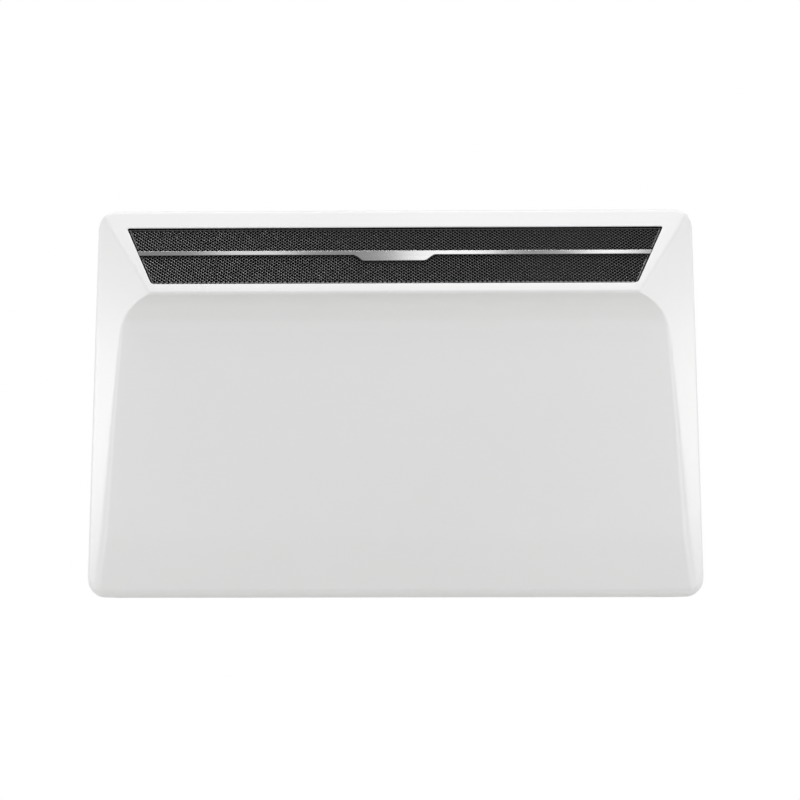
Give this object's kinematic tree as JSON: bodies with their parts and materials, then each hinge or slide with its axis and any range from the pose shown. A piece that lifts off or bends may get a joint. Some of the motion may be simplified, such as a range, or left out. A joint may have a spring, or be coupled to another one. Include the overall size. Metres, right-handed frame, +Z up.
{
  "type": "wall panel convector heater",
  "caption": "Wall-hung electric convector with a pressed steel casing, an overhanging visor with a mesh outlet, side controls and a hook-on wall bracket.",
  "frame": {"origin": "centre of the wall bracket's back face, on the plane of the wall", "axes": "+X to the right of someone facing the heater, +Y into the wall, +Z up; the front looks along -Y"},
  "size_m": [0.64, 0.113, 0.413],
  "materials": {
    "white_enamel": "glossy stoved enamel on pressed steel",
    "black_plastic": "fine-grained moulded plastic",
    "black_mesh": "satin black coating on expanded steel mesh",
    "satin_trim": "satin brushed strip",
    "zinc_steel": "bright zinc plating",
    "aluminium_sheet": "mill finish",
    "ceramic": "glazed steatite ceramic",
    "grey_rubber": "moulded rubber",
    "grey_plastic": "moulded plastic",
    "red_silicone": "silicone sleeving",
    "blue_silicone": "silicone sleeving"
  },
  "bodies": {
    "wall_bracket": {"wall_bracket": "zinc_steel"},
    "heater": {"front_casing": "white_enamel", "rear_cover": "white_enamel", "inlet_grille": "white_enamel", "outlet_frame": "black_plastic", "outlet_mesh": "black_mesh", "trim_strip": "satin_trim", "wall_spacer_left": "grey_rubber", "wall_spacer_right": "grey_rubber", "cord_gland": "black_plastic", "heating_element": "aluminium_sheet", "element_support_left": "zinc_steel", "element_support_right": "zinc_steel", "ceramic_bush_left": "ceramic", "ceramic_bush_right": "ceramic", "element_terminal_left": "zinc_steel", "element_terminal_right": "zinc_steel", "air_deflector": "aluminium_sheet", "front_heat_shield": "aluminium_sheet", "thermal_cutout": "zinc_steel", "control_tray": "black_plastic", "control_box": "grey_plastic", "thermostat": "grey_plastic", "switch_body": "black_plastic", "terminal_block": "ceramic", "lead_cutout": "red_silicone", "lead_right": "red_silicone", "lead_left": "blue_silicone", "cover_screw_1": "zinc_steel", "cover_screw_2": "zinc_steel", "cover_screw_3": "zinc_steel", "cover_screw_4": "zinc_steel", "cover_screw_5": "zinc_steel", "cover_screw_6": "zinc_steel", "cover_screw_7": "zinc_steel", "cover_screw_8": "zinc_steel", "cover_screw_9": "zinc_steel", "cover_screw_10": "zinc_steel", "support_screw_1": "zinc_steel", "shield_screw_1": "zinc_steel", "support_screw_2": "zinc_steel", "shield_screw_2": "zinc_steel", "support_screw_3": "zinc_steel", "shield_screw_3": "zinc_steel", "support_screw_4": "zinc_steel", "shield_screw_4": "zinc_steel", "deflector_screw_1": "zinc_steel", "deflector_screw_2": "zinc_steel", "deflector_screw_3": "zinc_steel", "cutout_screw_1": "zinc_steel", "cutout_screw_2": "zinc_steel"},
    "thermostat_knob": {"thermostat_knob": "black_plastic", "thermostat_shaft": "zinc_steel"},
    "power_rocker": {"power_rocker": "black_plastic"}
  },
  "joints": [
    {"name": "heater_lift", "type": "slide", "parent": "wall_bracket", "child": "heater", "axis": [0, 0, 1], "range_m": [0, 0.011]},
    {"name": "thermostat_turn", "type": "hinge", "parent": "heater", "child": "thermostat_knob", "pos_m": [0.308, -0.041, -0.068], "axis": [-1, 0, 0], "range_deg": [0, 270]},
    {"name": "rocker_press", "type": "hinge", "parent": "heater", "child": "power_rocker", "pos_m": [0.307, -0.041, -0.122], "axis": [0, -1, 0], "range_deg": [0, 16]}
  ]
}
